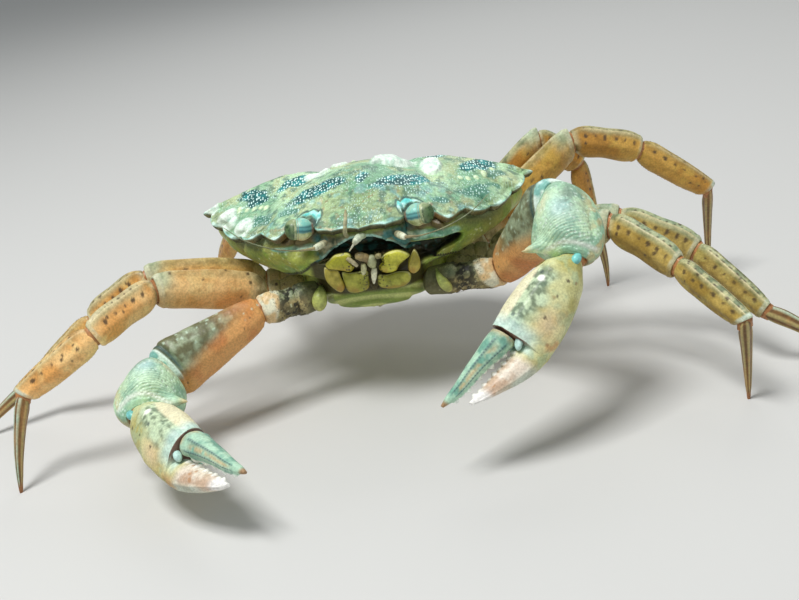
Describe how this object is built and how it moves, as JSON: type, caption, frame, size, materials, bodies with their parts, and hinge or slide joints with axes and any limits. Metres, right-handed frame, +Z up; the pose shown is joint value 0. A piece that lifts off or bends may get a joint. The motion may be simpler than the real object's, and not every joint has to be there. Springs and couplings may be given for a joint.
{
  "type": "shore crab",
  "caption": "Life-size shore crab standing still on its walking legs, with one claw folded in front of the body and the other held low.",
  "frame": {"origin": "centre of the model's bounding box in plan, at the floor that the tips of its walking legs stand on", "axes": "+X to the crab's left, +Y to its rear so that it faces -Y, +Z up"},
  "size_m": [0.1719, 0.1258, 0.0428],
  "materials": {
    "carapace": "satin, wet shell",
    "thorax": "satin",
    "abdomen": "satin",
    "eye": "gloss",
    "antenna": "satin",
    "mouth": "satin",
    "claw_hip": "satin",
    "claw_merus": "satin",
    "claw_carpus": "satin",
    "claw_hand": "satin",
    "claw_finger": "satin",
    "leg_hip": "satin",
    "leg_merus": "satin",
    "leg_carpus": "satin",
    "leg_propodus": "satin",
    "leg_dactylus": "satin"
  },
  "bodies": {
    "root": {"abdomen": "abdomen", "antenna_left": "antenna", "antenna_right": "antenna", "carapace": "carapace", "claw_left_carpus": "claw_carpus", "claw_left_finger": "claw_finger", "claw_left_hand": "claw_hand", "claw_left_hip": "claw_hip", "claw_left_merus": "claw_merus", "claw_right_carpus": "claw_carpus", "claw_right_finger": "claw_finger", "claw_right_hand": "claw_hand", "claw_right_hip": "claw_hip", "claw_right_merus": "claw_merus", "eye_left": "eye", "eye_right": "eye", "leg2_left_carpus": "leg_carpus", "leg2_left_dactylus": "leg_dactylus", "leg2_left_hip": "leg_hip", "leg2_left_merus": "leg_merus", "leg2_left_propodus": "leg_propodus", "leg2_right_carpus": "leg_carpus", "leg2_right_dactylus": "leg_dactylus", "leg2_right_hip": "leg_hip", "leg2_right_merus": "leg_merus", "leg2_right_propodus": "leg_propodus", "leg3_left_carpus": "leg_carpus", "leg3_left_dactylus": "leg_dactylus", "leg3_left_hip": "leg_hip", "leg3_left_merus": "leg_merus", "leg3_left_propodus": "leg_propodus", "leg3_right_carpus": "leg_carpus", "leg3_right_dactylus": "leg_dactylus", "leg3_right_hip": "leg_hip", "leg3_right_merus": "leg_merus", "leg3_right_propodus": "leg_propodus", "leg4_left_carpus": "leg_carpus", "leg4_left_dactylus": "leg_dactylus", "leg4_left_hip": "leg_hip", "leg4_left_merus": "leg_merus", "leg4_left_propodus": "leg_propodus", "leg4_right_carpus": "leg_carpus", "leg4_right_dactylus": "leg_dactylus", "leg4_right_hip": "leg_hip", "leg4_right_merus": "leg_merus", "leg4_right_propodus": "leg_propodus", "leg5_left_carpus": "leg_carpus", "leg5_left_dactylus": "leg_dactylus", "leg5_left_hip": "leg_hip", "leg5_left_merus": "leg_merus", "leg5_left_propodus": "leg_propodus", "leg5_right_carpus": "leg_carpus", "leg5_right_dactylus": "leg_dactylus", "leg5_right_hip": "leg_hip", "leg5_right_merus": "leg_merus", "leg5_right_propodus": "leg_propodus", "maxilliped_left": "mouth", "maxilliped_right": "mouth", "thorax": "thorax"}
  },
  "joints": []
}
